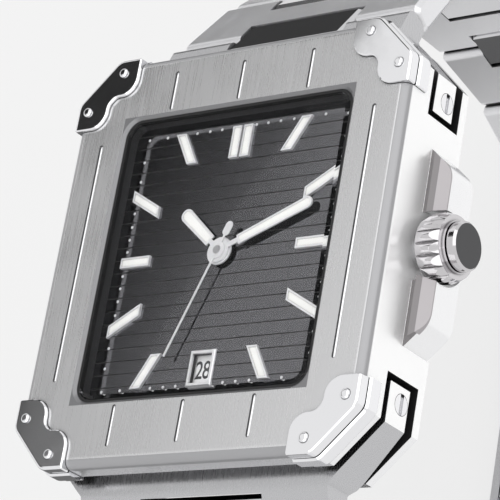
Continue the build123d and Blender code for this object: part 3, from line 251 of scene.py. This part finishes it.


# The areas below are in millimetres in the watch's frame. The side faces get a painted white
# highlight; the lug recesses, the rounded and inner edges of the bezel and the far part of the
# crown block's slope get painted shade. The painted dark band beside the crown block covers its
# channel and the near part of the block's slope.
LUG_RECESS_SHADE = [("|Y|", "GREATER_THAN", 12.58), ("Z", "GREATER_THAN", 1.86),
              ("Z", "LESS_THAN", 6.89), ("|X|", "LESS_THAN", 19.98)]
CROWN_BAND_SHADE = [("X", "GREATER_THAN", 20.02), ("X", "LESS_THAN", 21.3),
              ("Z", "GREATER_THAN", 5.2), ("Z", "LESS_THAN", 5.92),
              ("|Y|", "LESS_THAN", 9.8)]
BLOCK_FACET_SHADE = [("X", "GREATER_THAN", 21.3), ("Z", "GREATER_THAN", 4.8),
               ("Z", "LESS_THAN", 5.92), ("|Y|", "LESS_THAN", 9.8)]
CASE_SIDE_HIGHLIGHT = [("|X|", "GREATER_THAN", 19.98), ("|X|", "LESS_THAN", 20.02)]
BEZEL_SIDE_HIGHLIGHT = [("|X|", "GREATER_THAN", 19.96), ("Z", "LESS_THAN", 9.6)]
BEZEL_SIDE_EDGE_SHADE = [("|X|", "GREATER_THAN", 19.15), ("|X|", "LESS_THAN", 19.96),
                   ("Z", "GREATER_THAN", 9.4)]
BEZEL_END_EDGE_SHADE = [("|Y|", "GREATER_THAN", 20.5), ("|X|", "LESS_THAN", 19.15),
                  ("Z", "GREATER_THAN", 9.4)]
OPENING_RIM_SHADE = [("|X|", "LESS_THAN", 14.03), ("|Y|", "LESS_THAN", 15.06)]
CROWN_CAP = [("X", "GREATER_THAN", 24.785)]
# The bezel's sides get a painted white highlight; its rounded edges and the rim of its opening
# get painted grey shade.
dress("bezel", steel("bezel_brushed_steel", "#e8e8e9", 0.28, line=0.07,
                     tone_and_painted_light_zones=[("#ffffff", 0.3, BEZEL_SIDE_HIGHLIGHT),
                                 ("#a2a2a4", 0.3, BEZEL_SIDE_EDGE_SHADE),
                                 ("#a8a8aa", 0.3, BEZEL_END_EDGE_SHADE),
                                 ("#88888a", 0.3, OPENING_RIM_SHADE)]))
# The case sides get a painted white highlight; the lug recesses, the band beside the crown block
# and the block's slope get painted shade.
dress("case_middle", steel("case_brushed_steel", "#f6f6f7", 0.22,
                           tone_and_painted_light_zones=[("#ffffff", 0.3, CASE_SIDE_HIGHLIGHT),
                                       ("#202021", 0.6, LUG_RECESS_SHADE),
                                       ("#7c797a", 0.3, CROWN_BAND_SHADE),
                                       ("#a8a4a6", 0.35, BLOCK_FACET_SHADE)]))
dress("case_back", steel("back_brushed_steel", "#cbcbcd", 0.3, along=0))
mirror_steel = polished("mirror_polished_steel")
for name in ("guard_12_right", "guard_12_left", "guard_6_right", "guard_6_left",
             "guard_studs", "lug_screws", "back_screws", "pusher_right", "pusher_left"):
    dress(name, mirror_steel)
dress("crown", polished("crown_polished_steel", "#cfcdcf", 0.07,
                        tone_and_painted_light_zones=[("#3c3c3e", CROWN_CAP)]))
print("steel on", len(bpy.data.materials), "materials")

# %% [markdown]
# Each bracelet link is brushed along its own length, and its centre plate is polished. The
# links slope round the wrist, so each gets the same finish turned to its own slope about its
# own pin. The pins are worked out again from the slopes, as the part's source does.

# %% Bracelet finishes
PITCH = 9.2
FIRST_PIN = (23.45, 3.9)
SLOPES = {"12": (36, 44, 57, 70, 94, 106, 122, 158), "6": (42, 58, 74, 88, 100, 112, 128)}
START_WIDTH = 29
END_WIDTH = 18
PLATE_WIDTH_SHARE = 0.483
PLATE_MARGIN = 0.06
PLATE_START = -0.95
PLATE_END = 4.76
# The outer sides of the end links get a painted white highlight.
END_LINK_SIDE_HIGHLIGHT = [("|X|", "GREATER_THAN", 19.93)]


def own_frame(slope, pin, side):
    """The turn and shift that carry a link's coordinates to its pin and its own slope.

    A turn about X by the slope lays the link along Y. On the six o'clock side the watch is
    first turned half round about Z, which is the same as the opposite slope and a half turn.
    """
    angle = math.radians(slope)
    y, z = pin
    along = y * math.cos(angle) - z * math.sin(angle)
    out = y * math.sin(angle) + z * math.cos(angle)
    turn = (angle, 0, 0) if side > 0 else (-angle, 0, math.pi)
    return turn, (0, -along * MM, -out * MM)


for label, side in (("12", 1), ("6", -1)):
    dress(f"end_link_{label}", steel(f"end_link_{label}_steel", "#c4c4c6", 0.27,
                                     tone_and_painted_light_zones=[("#ffffff", 0.3, END_LINK_SIDE_HIGHLIGHT)]))
    pin = FIRST_PIN
    for index, slope in enumerate(SLOPES[label]):
        share = index / len(SLOPES[label])
        half = PLATE_WIDTH_SHARE * (START_WIDTH * (1 - share) + END_WIDTH * share) / 2
        turn, shift = own_frame(slope, pin, side)
        plate = [("|X|", "LESS_THAN", half + PLATE_MARGIN),
                 ("Y", "GREATER_THAN", PLATE_START), ("Y", "LESS_THAN", PLATE_END)]
        name = f"link_{label}_{index + 1}"
        dress(name, steel(f"{name}_steel", "#ececee", 0.4, turn=turn, shift=shift,
                          gloss_zone=plate))
        turned = math.radians(slope)
        pin = (pin[0] + PITCH * math.cos(turned), pin[1] - PITCH * math.sin(turned))
print("links dressed")

clasp_steel = steel("clasp_brushed_steel", "#c9c9cb", 0.29)
for name in ("clasp_cover", "long_blade", "short_blade"):
    dress(name, clasp_steel)

# %% [markdown]
# ## Dial side
# The dial is lacquered brass with pressed lines. Its satin lacquer is dark and takes a broad
# reflection from the studio. The pressed lines are painted dark as shade, and the markers and
# hands darken as painted shade where walls close in. The luminous fills are matt, and the date
# disc is printed white.

# %% Dial materials
def lacquer(name, colour, rough, metallic=0.0, grit=0.06, depth=0.001, spread=0.04, coat=0.0,
            lines=None, painted_seam_shade=None):
    """A sprayed or moulded surface with a fine grit of the given size in millimetres.

    lines gives the colour of painted shade in the pressed lines and the height below which they
    lie. The seam shade argument says how the colour darkens as painted shade where walls close
    in, in place of the grit's change of tone.
    """
    material, tree, output = new_material(name)
    where = add(tree, "ShaderNodeTexCoord")
    own = add(tree, "ShaderNodeMapping", {}, {"Vector": where.outputs["Object"]})
    grain = add(tree, "ShaderNodeTexNoise", {"Scale": 1 / (grit * MM), "Detail": 2.0},
                {"Vector": own.outputs["Vector"]})
    bump = add(tree, "ShaderNodeBump", {"Strength": 1.0, "Distance": depth * MM},
               {"Height": grain.outputs["Fac"]})
    if painted_seam_shade:
        tint = crevice(tree, colour, **painted_seam_shade)
    else:
        value = add(tree, "ShaderNodeMapRange",
                    {"From Min": 0.3, "From Max": 0.7, "To Min": 1 - spread,
                     "To Max": 1 + spread}, {"Value": grain.outputs["Fac"]})
        tint = add(tree, "ShaderNodeHueSaturation", {"Color": linear(colour)},
                   {"Value": value.outputs["Result"]}).outputs["Color"]
    shader = add(tree, "ShaderNodeBsdfPrincipled",
                 {"Metallic": metallic, "Roughness": rough, "Coat Weight": coat,
                  "Coat Roughness": 0.08},
                 {"Base Color": tint, "Normal": bump.outputs["Normal"]})
    surface = shader.outputs["BSDF"]
    if lines:
        pressed = add(tree, "ShaderNodeBsdfPrincipled",
                      {"Base Color": linear(lines[0]), "Roughness": 0.5})
        surface = add(tree, "ShaderNodeMixShader", {},
                      {0: zone(tree, own.outputs["Vector"], [("Z", "LESS_THAN", lines[1])]),
                       1: surface, 2: pressed.outputs["BSDF"]}).outputs["Shader"]
    tree.links.new(surface, output.inputs["Surface"])
    return material


# The dial's pressed lines get painted shade: a dark colour below 8.435 mm.
dress("dial", lacquer("dial_satin_lacquer", "#6f6f72", 0.11, metallic=1.0, depth=0.00001,
                      spread=0.008, lines=("#2c2c2d", 8.435)))
dress("inner_ring", lacquer("ring_black_lacquer", "#242425", 0.45))
# Lume and trim darken as painted shade where walls close in.
lume = lacquer("luminous_fill", "#d6d6d4", 0.75, grit=0.05, depth=0.003,
               painted_seam_shade={"reach": 0.2, "floor": 0.45, "start": 0.7, "end": 0.95})
trim = lacquer("dial_trim_rhodium", "#dadadc", 0.35, metallic=0.6, spread=0.01,
               painted_seam_shade={"reach": 0.25, "floor": 0.25, "start": 0.5, "end": 0.9, "own": True})
for name in ("hour_markers", "date_frame", "hour_hand", "minute_hand", "seconds_hand"):
    dress(name, trim)
for name in ("marker_lume", "hour_hand_lume", "minute_hand_lume"):
    dress(name, lume)
dress("date_disc", lacquer("date_disc_print", "#e2e2e3", 0.5))
rubber = lacquer("seal_rubber", "#1b1b1c", 0.7, grit=0.1, depth=0.004)
for name in ("crystal_gasket", "back_gasket"):
    dress(name, rubber)
brass = lacquer("plated_brass", "#cfae6c", 0.3, metallic=1.0)
for name in ("movement_plate", "train_bridge"):
    dress(name, brass)
dress("movement_holder", lacquer("holder_acetal", "#2a2a2c", 0.55))
dress("circuit_board", lacquer("board_solder_mask", "#1f5a36", 0.4))
dress("battery", lacquer("cell_can_steel", "#c8c8ca", 0.25, metallic=1.0))
dress("stepper_coil", lacquer("wound_copper", "#b36a3c", 0.35, metallic=1.0, grit=0.08,
                              depth=0.01))
dress("step_rotor", lacquer("sintered_magnet", "#3c3c3e", 0.45, metallic=0.8))
plain_steel = lacquer("turned_steel", "#bdbdbf", 0.3, metallic=1.0)
for name in ("stem", "stem_clip", "crown_tube", "hour_wheel", "cannon_pinion",
             "seconds_arbor"):
    dress(name, plain_steel)

# %% [markdown]
# ## Printing
# The minute track is pad-printed: a soft pad sets down dots of thick white ink. They stand on a
# rectangle where the sixty minute rays cross it, and the five-minute places are left to the
# markers. All the dots are one mesh, worked out at once.

# %% Minute dots
def closed_rings(points, name, material):
    """One mesh of closed solids, each a stack of rings joined into quads and capped.

    points holds solids by rings by points of a ring by X, Y and Z in millimetres.
    """
    index = np.arange(points[..., 0].size).reshape(points.shape[:3])
    ahead = np.roll(index, -1, axis=2)
    quads = np.stack([index[:, :-1], ahead[:, :-1], ahead[:, 1:], index[:, 1:]], -1)
    faces = quads.reshape(-1, 4).tolist()
    faces += index[:, -1].tolist() + index[:, 0, ::-1].tolist()
    mesh = bpy.data.meshes.new(name)
    mesh.from_pydata((points.reshape(-1, 3) * MM).tolist(), [], faces)
    mesh.materials.append(material)
    thing = bpy.data.objects.new(name, mesh)
    bpy.context.scene.collection.objects.link(thing)
    return thing


def round_domes(centres, radii, heights, count):
    """Low round domes: rings of the given radii and heights about each centre.

    A ring's point i stands at radius r and angle 2 pi i / count from the centre.
    """
    turn = np.linspace(0, 2 * np.pi, count, endpoint=False)
    ring = np.stack([np.cos(turn), np.sin(turn)], -1)
    flat = ring[None, None] * np.asarray(radii)[None, :, None, None] + centres[:, None, None]
    level = np.broadcast_to(np.asarray(heights)[None, :, None], flat.shape[:3])
    return np.concatenate([flat, level[..., None]], -1)


TRACK_HALF_SIZES = (12.0, 13.18)
DOT_RADII = (0.15, 0.15, 0.1)
DOT_HEIGHTS = (8.43, 8.462, 8.472)
DOT_POINTS = 12
minute = np.array([m for m in range(60) if m % 5])
ray = np.radians(6.0 * minute)
ray = np.stack([np.sin(ray), np.cos(ray)], -1)
reach = np.min(np.array(TRACK_HALF_SIZES) / np.maximum(np.abs(ray), 1e-6), axis=1)
domes = round_domes(ray * reach[:, None], DOT_RADII, DOT_HEIGHTS, DOT_POINTS)
dots = closed_rings(domes, "minute_dots", lacquer("white_pad_ink", "#c4c4c6", 0.6, grit=0.05))
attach(dots, "case")
print("dots", len(minute))

# %% [markdown]
# The date disc carries 31 numerals, and 28 stands in the window. The disc turns clockwise, so
# the numbers rise the other way round. Each is a text curve made a mesh, then turned to its
# place, and narrowed, as the tall figures on such discs are.

# %% Date numerals
DISC_TOP = 7.8
DAYS = 31
SHOWN_DATE = 28
NUMERAL_SIZE = 2.5
NUMERAL_SWELL = 0.02
INK_THICKNESS = 0.008
NUMERAL_PLACE = (-0.36, -11.62)
NUMERAL_WIDTH_SHARE = 0.74
CAP_HEIGHT_SHARE = 0.7
numeral_ink = lacquer("dark_disc_ink", "#3c3c3e", 0.6, grit=0.05)
for number in range(1, DAYS + 1):
    words = bpy.data.curves.new(f"numeral_{number:02d}", "FONT")
    words.body = str(number)
    words.size = NUMERAL_SIZE * MM
    words.offset = NUMERAL_SWELL * MM
    words.extrude = INK_THICKNESS * MM
    words.align_x = "CENTER"
    words.align_y = "CENTER"
    words.space_character = 0.95
    holder = bpy.data.objects.new("numeral_form", words)
    bpy.context.scene.collection.objects.link(holder)
    bpy.context.view_layer.update()
    depsgraph = bpy.context.evaluated_depsgraph_get()
    mesh = bpy.data.meshes.new_from_object(holder.evaluated_get(depsgraph))
    bpy.data.objects.remove(holder)
    bpy.data.curves.remove(words)
    angle = math.radians((number - SHOWN_DATE) * 360 / DAYS)
    x, y = NUMERAL_PLACE
    mesh.transform(Matrix.Rotation(angle, 4, "Z")
                   @ Matrix.Translation((x * MM, y * MM, (DISC_TOP + INK_THICKNESS) * MM))
                   @ Matrix.Diagonal((NUMERAL_WIDTH_SHARE, 1.0, 1.0, 1.0)))
    mesh.materials.clear()
    mesh.materials.append(numeral_ink)
    numeral = bpy.data.objects.new(f"date_numeral_{number:02d}", mesh)
    bpy.context.scene.collection.objects.link(numeral)
    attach(numeral, "date")
print("numerals", DAYS, "height about", round(NUMERAL_SIZE * CAP_HEIGHT_SHARE, 2), "mm")

# %% [markdown]
# ## Engraved lines
# The lines on the bezel are cut with a ball-nosed cutter and left bright: a round-bottomed
# groove with round ends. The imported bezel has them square, so each gets a bright bed with a
# hollow top, which is half an ellipse across and follows the line's rounded outline. The
# steep rim of the hollow is dark, as it faces away from the light.

# %% Bright beds of the engraved lines
LINE_WIDTH = 0.47
END_LINE_LENGTH = 4.17
END_LINE_X = 8.28
END_LINE_Y = 17.355
SIDE_LINE_LENGTH = 24.98
SIDE_LINE_X = 16.49
BED_TOP = 10.37
BED_HOLLOW = 0.22
BED_BASE = 10.06
BED_RIM = [("Z", "GREATER_THAN", 10.22)]
RING_SHARES = (1.0, 1.0, 0.97, 0.9, 0.78, 0.6, 0.38, 0.15)


def groove_bed(centre, length, count=48):
    """A closed bed: rings shrink from the rounded outline to its middle line.

    The point of ring t at angle a is the outline's middle line plus t w/2 (cos a, sin a),
    at the height top - hollow sqrt(1 - t squared). The first ring is the bed's foot.
    """
    turn = np.linspace(0, 2 * np.pi, count, endpoint=False) + np.pi / count
    spine = np.sign(np.sin(turn)) * (length - LINE_WIDTH) / 2
    share = np.array(RING_SHARES)
    level = BED_TOP - BED_HOLLOW * np.sqrt(1 - share ** 2)
    level[0] = BED_BASE
    x = centre[0] + share[:, None] * LINE_WIDTH / 2 * np.cos(turn)
    y = centre[1] + spine + share[:, None] * LINE_WIDTH / 2 * np.sin(turn)
    z = np.broadcast_to(level[:, None], x.shape)
    return np.stack([x, y, z], -1)


beds = [groove_bed((x, y), END_LINE_LENGTH)
        for x in (-END_LINE_X, 0, END_LINE_X) for y in (-END_LINE_Y, END_LINE_Y)]
beds += [groove_bed((x, 0), SIDE_LINE_LENGTH) for x in (-SIDE_LINE_X, SIDE_LINE_X)]
bright_cut = polished("bright_cut_steel", "#e4e4e6", 0.2, tone_and_painted_light_zones=[("#4a4a4c", BED_RIM)])
engraved = closed_rings(np.array(beds), "engraved_beds", bright_cut)
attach(engraved, "case")
print("engraved lines", len(beds))

# %% [markdown]
# The crystal is flat mineral glass with an anti-reflective coating, so it hardly shows the
# room: its index is set to where such a coating reflects under 1 %. Lamps must light the dial
# through it, so for shadow rays it is transparent. Its sides are ground and sit in a black
# seal, so they are dark. Its chamfer lets rays straight through, so that the dots near the edge
# don't show twice.

# %% Crystal
glass, tree, output = new_material("coated_mineral_glass")
clear = add(tree, "ShaderNodeBsdfPrincipled",
            {"Base Color": linear("#ffffff"), "Roughness": 0.0, "IOR": 1.12,
             "Transmission Weight": 1.0})
through = add(tree, "ShaderNodeBsdfTransparent")
path = add(tree, "ShaderNodeLightPath")
pane = add(tree, "ShaderNodeMixShader", {},
           {0: path.outputs["Is Shadow Ray"], 1: clear.outputs["BSDF"],
            2: through.outputs["BSDF"]})
place = add(tree, "ShaderNodeTexCoord").outputs["Object"]
surface = pane.outputs["Shader"]
ground = add(tree, "ShaderNodeBsdfPrincipled",
             {"Base Color": linear("#0c0c0d"), "Roughness": 0.8})
CHAMFER_FOOT = 10.06
for finish, axis, limit, part in ((ground, "|Y|", 14.4, "LESS_THAN"),
                                  (ground, "|X|", 13.37, "LESS_THAN"),
                                  (through, "|Y|", 14.16, "GREATER_THAN"),
                                  (through, "|X|", 13.13, "GREATER_THAN")):
    tests = [(axis, "GREATER_THAN", limit), ("Z", part, CHAMFER_FOOT)]
    surface = add(tree, "ShaderNodeMixShader", {},
                  {0: zone(tree, place, tests), 1: surface,
                   2: finish.outputs["BSDF"]}).outputs["Shader"]
tree.links.new(surface, output.inputs["Surface"])
dress("crystal", glass)
undressed = [n for n, o in nodes.items() if not o.data.materials or not o.data.materials[0]]
print("undressed", undressed)

# %% [markdown]
# ## Studio
# The watch stands on a plain pale floor under soft light. Polished steel has no look of its
# own: it shows the room. A dark card stands behind on the left, as a photographer would put
# one, and its grey upper edge gives the mirror faces their dark to light change. A low dark card
# and a grey one lie on the floor there, so that the steep plates of the bracelet are dark too. A
# white card on the crown's side keeps the case side white.

# %% Floor, cards and lights
def plain(name, colour, rough, shown=0.0):
    """A plain matt stage surface, which shows its own colour by the share given."""
    material, tree, output = new_material(name)
    shader = add(tree, "ShaderNodeBsdfPrincipled",
                 {"Base Color": linear(colour), "Roughness": rough})
    surface = shader.outputs["BSDF"]
    if shown:
        glow = add(tree, "ShaderNodeEmission", {"Color": linear(colour), "Strength": 1.0})
        part = add(tree, "ShaderNodeMath", {"operation": "MULTIPLY", 1: shown},
                   {0: looked_at(tree)})
        surface = add(tree, "ShaderNodeMixShader", {},
                      {0: part.outputs["Value"], 1: surface,
                       2: glow.outputs["Emission"]}).outputs["Shader"]
    tree.links.new(surface, output.inputs["Surface"])
    return material


def sheet_mesh(name, points, material):
    """A grid of points, rows by columns, joined into quads."""
    rows, columns = points.shape[:2]
    index = np.arange(rows * columns).reshape(rows, columns)
    faces = np.stack([index[:-1, :-1], index[:-1, 1:], index[1:, 1:], index[1:, :-1]], -1)
    mesh = bpy.data.meshes.new(name)
    mesh.from_pydata(points.reshape(-1, 3).tolist(), [], faces.reshape(-1, 4).tolist())
    mesh.materials.append(material)
    thing = bpy.data.objects.new(name, mesh)
    bpy.context.scene.collection.objects.link(thing)
    return thing


def bent_card(name, degrees, profile, colour, shown=0.0):
    """A card bent round the Z axis: its profile of radius and height, carried over an angle."""
    turn = np.radians(np.linspace(degrees[0], degrees[1], 40))
    radius, height = np.array(profile).T
    points = np.stack([radius[:, None] * np.cos(turn), radius[:, None] * np.sin(turn),
                       np.broadcast_to(height[:, None], (len(radius), 40))], -1)
    card = sheet_mesh(name, points, plain(f"{name}_paper", colour, 0.9, shown))
    card.visible_camera = False
    card.visible_shadow = False
    card.visible_diffuse = False
    return card


FLOOR_GAP = 0.02
FLOOR_HALF = 3
CARD_RADIUS = 0.6
CARD_BOTTOM = 0.37
CARD_TOP = 0.557
CARD_EDGE_TOP = 0.603
floor_z = cad_box[0][2] - FLOOR_GAP * MM
steps = np.linspace(-FLOOR_HALF, FLOOR_HALF, 13)
u, v = np.meshgrid(steps, steps)
sheet_mesh("floor", np.stack([u, v, np.full_like(u, floor_z)], -1),
           plain("floor_paper", "#f2f2f2", 0.9, shown=0.8))
low = floor_z + 0.001
bent_card("tall_card", (95, 190),
          [(CARD_RADIUS, CARD_BOTTOM), (CARD_RADIUS, 0.46), (CARD_RADIUS, CARD_TOP)], "#141414")
bent_card("tall_card_edge", (95, 190),
          [(CARD_RADIUS, CARD_TOP), (CARD_RADIUS, 0.58), (CARD_RADIUS, CARD_EDGE_TOP)],
          "#6a6a6a")
bent_card("side_card", (-20, 75), [(0.035, low), (0.15, low), (0.3, low)], "#ffffff",
          shown=1.0)
bent_card("low_card", (95, 150),
          [(0.18, low), (0.33, low), (0.45, low), (CARD_RADIUS, low + 0.002),
           (CARD_RADIUS, 0.03)], "#1c1c1c")
bent_card("foot_card", (150, 250), [(0.02, low), (0.12, low), (0.22, low)], "#6a6a6a")


def soft_lamp(name, place, target, size, power):
    """A rectangular area lamp that faces a point."""
    lamp = bpy.data.lights.new(name, "AREA")
    lamp.shape = "RECTANGLE"
    lamp.size, lamp.size_y = size
    lamp.energy = power
    thing = bpy.data.objects.new(name, lamp)
    bpy.context.scene.collection.objects.link(thing)
    thing.location = place
    thing.rotation_euler = (Vector(target) - Vector(place)).to_track_quat("-Z", "Y").to_euler()
    return thing


soft_lamp("key", (0.5, 0.35, 0.9), (0, 0, 0), (1.6, 1.6), 7.0)
soft_lamp("fill", (0.3, -0.8, 0.6), (0, 0, 0), (1.1, 1.1), 3.0)
low_lamp = soft_lamp("low_side_lamp", (-0.5, 0.29, 0.27), (0, 0, 0), (0.06, 0.06), 0.5)
low_lamp.visible_glossy = False

world = bpy.data.worlds.new("studio")
bpy.context.scene.world = world
world.use_nodes = True
tree = world.node_tree
tree.nodes.clear()
dim = add(tree, "ShaderNodeBackground", {"Color": linear("#ffffff"), "Strength": 0.6})
bright = add(tree, "ShaderNodeBackground", {"Color": linear("#f2f2f2"), "Strength": 1.0})
mix = add(tree, "ShaderNodeMixShader", {},
          {0: looked_at(tree), 1: dim.outputs["Background"],
           2: bright.outputs["Background"]})
add(tree, "ShaderNodeOutputWorld", {}, {"Surface": mix.outputs["Shader"]})
bpy.context.scene.view_settings.view_transform = "Standard"
